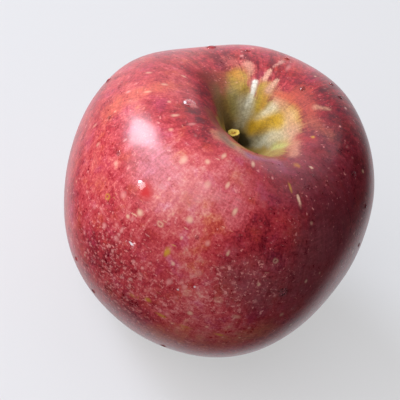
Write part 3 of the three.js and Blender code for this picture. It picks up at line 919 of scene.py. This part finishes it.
# The dried stamens, on the solid's own plug.
stamens = {
    "count": 13,
    "plug": [[0.1, 10.6], [0.9, 10.6], [1.2, 10.75], [1.25, 11.2], [1.2, 11.65], [0.9, 11.8], [0.1, 11.8]],
    "plugLow": 10.6,
    "rootRing": 0.78,
    "rootDepth": 0.5,
    "least": 3.2,
    "most": 4.3,
    "radius": 0.22,
    "knob": 0.42,
    "spread": 11,
    "wander": 0.25,
    "seed": 5,
    "rings": 40,
    "pointsRound": 12,
}


def stamenRings():
    # a thin tube for each filament, swelling into its knob, with a slight S bend
    rng = np.random.default_rng(stamens["seed"])
    number = np.arange(stamens["count"])
    share = np.sqrt((number + 0.5) / stamens["count"])[:, None, None]
    turn = (number * goldenAngle)[:, None, None]
    draw = rng.random(stamens["count"])[:, None, None]
    reach = stamens["least"] + (stamens["most"] - stamens["least"]) * draw
    phase = rng.random(stamens["count"])[:, None, None] * fullTurn
    t = np.linspace(0, 1, stamens["rings"])[None, :, None]
    angle = (np.arange(stamens["pointsRound"]) / stamens["pointsRound"] * fullTurn)[None, None]
    knob = stamens["knob"] * np.sqrt(np.clip(1 - ((t - 0.92) / 0.08) ** 2, 0, 1))
    radius = np.maximum(np.where(t < 0.92, stamens["radius"], 0.02), knob)
    lean = np.radians(stamens["spread"]) * share
    out = stamens["rootRing"] * share + reach * t * np.sin(lean)
    wander = stamens["wander"] * np.sin(np.pi * t + phase) * t
    down = stamens["plugLow"] + stamens["rootDepth"] - reach * t * np.cos(lean)
    x = (out + wander) * np.cos(turn) + radius * np.cos(angle)
    y = (out + wander) * np.sin(turn) - radius * np.sin(angle)
    return np.stack([x, y, down + 0 * angle], axis=-1)


def plugRings():
    # a low rounded drum
    profile = splineThrough(stamens["plug"], np.linspace(0, 1, 30))
    around = np.arange(48) / 48 * fullTurn
    x = profile[:, :1] * np.cos(around)
    y = profile[:, :1] * np.sin(around)
    return np.stack([x, y, profile[:, 1:] + 0 * x], axis=-1)[None]


driedStamen = driedMaterial("dried stamen", (0.02, 0.012, 0.006), (0.07, 0.04, 0.02), (0.22, 0.15, 0.07))
addPiece("apple_stamens", stamenRings() + seat, driedStamen, replaced="calyx_stamens")
addPiece("apple_stamen_plug", plugRings() + seat, driedStamen)


# Water drops, where the photograph shows them.
drops = {
    # pixel, radius in mm
    "clear": [
        ((110, 117), 0.7), ((119, 154), 0.8),
        ((108, 80), 1.1), ((211, 46), 1.6), ((247, 51), 0.9), ((287, 58), 1.0), ((302, 89), 0.9),
        ((332, 84), 0.9), ((340, 97), 0.8), ((354, 175), 1.0), ((366, 206), 0.8), ((360, 245), 0.7),
        ((283, 291), 1.5), ((76, 260), 0.9), ((93, 292), 0.9),
        ((163, 347), 0.9), ((314, 176), 0.6), ((196, 239), 0.6), ((140, 274), 0.5), ((257, 152), 0.5),
    ],
    # those that catch the window
    "bright": [
        ((141, 187), 1.8), ((190, 103), 1.9), ((132, 246), 1.0), ((178, 289), 0.5), ((193, 289), 0.5),
    ],
    "height": 0.3,  # of the radius
    "sunk": 0.12,
    "seed": 3,
    "pointsRound": 40,
    "rings": 26,
}


def dropRings(placed):
    # a spherical cap with a slightly uneven edge, closed underneath by a flat base sunk in the skin
    rng = np.random.default_rng(drops["seed"])
    at = seenAt([pixel for pixel, _ in placed])
    radius = np.array([r for _, r in placed])[:, None, None]
    grids = (skin, tangentAround, tangentAlong, skinNormal)
    middle, u, v, n = (grid.reshape(-1, 3)[at][:, None, None] for grid in grids)
    height = radius * drops["height"]
    ball = (radius**2 + height**2) / (2 * height)
    widest = np.arcsin(np.clip(radius / ball, 0, 1))
    t = np.linspace(0, 1, drops["rings"])[None, :, None]
    angle = -(np.arange(drops["pointsRound"]) / drops["pointsRound"] * fullTurn)[None, None]
    top = np.clip(t / 0.75, 0.01, 1)
    reach = np.where(t < 0.75, ball * np.sin(widest * top), radius * (1 - (t - 0.75) / 0.26))
    rise = np.where(t < 0.75, ball * np.cos(widest * top) - (ball - height), -drops["sunk"])
    phase = rng.random((3, len(at)))[:, :, None, None] * fullTurn
    uneven = 1 + 0.05 * np.cos(2 * angle + phase[0]) + 0.03 * np.cos(3 * angle + phase[1])
    reach = reach * uneven
    side = reach[..., None] * (np.cos(angle)[..., None] * u + np.sin(angle)[..., None] * v)
    return middle + side + rise[..., None] * n


def waterMaterial(name, coat):
    # clear water; the coat widens the glint of the window
    fixed = {"IOR": 1.33, "Transmission_Weight": 1.0, "Coat_Roughness": 0.27, "Coat_IOR": 2.2}
    s = Shader(name, 0.0, Coat_Weight=coat, **fixed)
    s.surface.inputs["Base Color"].default_value = (1, 1, 1, 1)
    return s.material


addPiece("water_drops", dropRings(drops["clear"]), waterMaterial("water", 0.0))
brightDrops = addPiece("bright_drops", dropRings(drops["bright"]), waterMaterial("bright water", 1.0))
brightDrops.visible_shadow = False  # the light goes through them


# The stage: a pale floor and soft light.
stage = {
    "floorSize": 6,  # m
    "floorColour": (0.29, 0.29, 0.31),
    "floorGlow": 0.49,  # as the camera sees it, which keeps the shadow on it pale
    # azimuth and elevation in degrees, distance, width and height in m, brightness, colour
    "lights": {
        "window": (167, 28, 1.6, (0.60, 0.66), 16.0, (0.90, 0.97, 1.10)),
        "softLeft": (218, 41, 1.6, (1.85, 1.75), 2.75, (1.0, 0.98, 0.98)),
        "overhead": (100, 78, 1.6, (1.2, 1.2), 0.9, (0.95, 0.97, 1.0)),
    },
    "wall": 0.7,  # how bright the surroundings are to look at
    "fill": 0.08,  # how bright the surroundings are as light from above
    "bounce": 0.42,  # and from below
    # and in reflections: direction, cosines of the angles at which it fades, brightness
    "behind": ((-0.25, 0.95, 0.05), (0.45, 0.92), 0.8),
    "below": ((-0.05, 0.75, -0.66), (0.55, 0.92), 0.7),
}


def makeFloor():
    # reflections don't see it, and it glows only as the camera sees it
    half = stage["floorSize"] / 2
    mesh = bpy.data.meshes.new("floor")
    corners = [(-half, -half, 0), (half, -half, 0), (half, half, 0), (-half, half, 0)]
    mesh.from_pydata(corners, [], [(0, 1, 2, 3)])
    s = Shader("pale floor", 0.9)
    seen = s.put("LightPath").outputs["Is Camera Ray"]
    s.feed(s.surface.inputs["Emission Strength"], s.times(seen, stage["floorGlow"]))
    s.surface.inputs["Base Color"].default_value = (*stage["floorColour"], 1)
    mesh.materials.append(s.material)
    floor = bpy.data.objects.new("floor", mesh)
    floor.visible_glossy = False
    bpy.context.scene.collection.objects.link(floor)


def makeLight(name, azimuth, elevation, distance, size, brightness, colour):
    # a rectangle that faces the apple; its power is brightness x pi x its area
    a, e = np.radians([azimuth, elevation])
    toward = np.array([np.cos(a) * np.cos(e), np.sin(a) * np.cos(e), np.sin(e)])
    data = bpy.data.lights.new(name, "AREA")
    data.shape = "RECTANGLE"
    data.size, data.size_y = size
    data.energy = brightness * np.pi * size[0] * size[1]
    data.color = colour
    light = bpy.data.objects.new(name, data)
    light.location = Vector(toward * distance) + Vector((0, 0, 0.04))
    light.rotation_euler = Vector(toward).to_track_quat("Z", "Y").to_euler()
    bpy.context.scene.collection.objects.link(light)


def makeSurroundings():
    # a plain wall to look at; a dim light, brighter from below as from a pale table; in reflections, two
    # bright fields, behind the apple and below it, that fade towards the sides
    world = bpy.data.worlds.new("surroundings")
    world.use_nodes = True
    nodes, links = world.node_tree.nodes, world.node_tree.links
    background = nodes["Background"]
    background.inputs["Color"].default_value = (0.96, 0.96, 1.0, 1)
    toward = nodes.new("ShaderNodeTexCoord").outputs["Generated"]

    def field(direction, cosines, low, high):
        # from low to high with the cosine of the angle to a direction
        angle = nodes.new("ShaderNodeVectorMath")
        angle.operation = "DOT_PRODUCT"
        angle.inputs[1].default_value = direction
        fade = nodes.new("ShaderNodeMapRange")
        fade.interpolation_type = "SMOOTHSTEP"
        for title, value in zip(("From Min", "From Max", "To Min", "To Max"), (*cosines, low, high)):
            fade.inputs[title].default_value = value
        links.new(toward, angle.inputs[0])
        links.new(angle.outputs["Value"], fade.inputs["Value"])
        return fade.outputs[0]

    def choose(output, otherwise, value):
        # one value for one kind of ray and another for the rest
        pick = nodes.new("ShaderNodeMapRange")
        links.new(nodes.new("ShaderNodeLightPath").outputs[output], pick.inputs["Value"])
        for title, source in (("To Min", otherwise), ("To Max", value)):
            if isinstance(source, bpy.types.NodeSocket):
                links.new(source, pick.inputs[title])
            else:
                pick.inputs[title].default_value = source
        return pick.outputs[0]

    sheen = nodes.new("ShaderNodeMath")
    sheen.operation = "MAXIMUM"
    for socket, name in zip(sheen.inputs, ("behind", "below")):
        direction, edges, brightness = stage[name]
        links.new(field(direction, edges, 0.0, brightness), socket)
    reflected = choose("Is Glossy Ray", stage["wall"], sheen.outputs[0])
    lit = choose("Is Diffuse Ray", reflected, field((0, 0, -1), (-0.1, 0.7), stage["fill"], stage["bounce"]))
    links.new(lit, background.inputs["Strength"])
    bpy.context.scene.world = world


makeFloor()
for lightName, settings in stage["lights"].items():
    makeLight(lightName, *settings)
makeSurroundings()
bpy.context.scene.view_settings.view_transform = "Standard"
print("stage set")
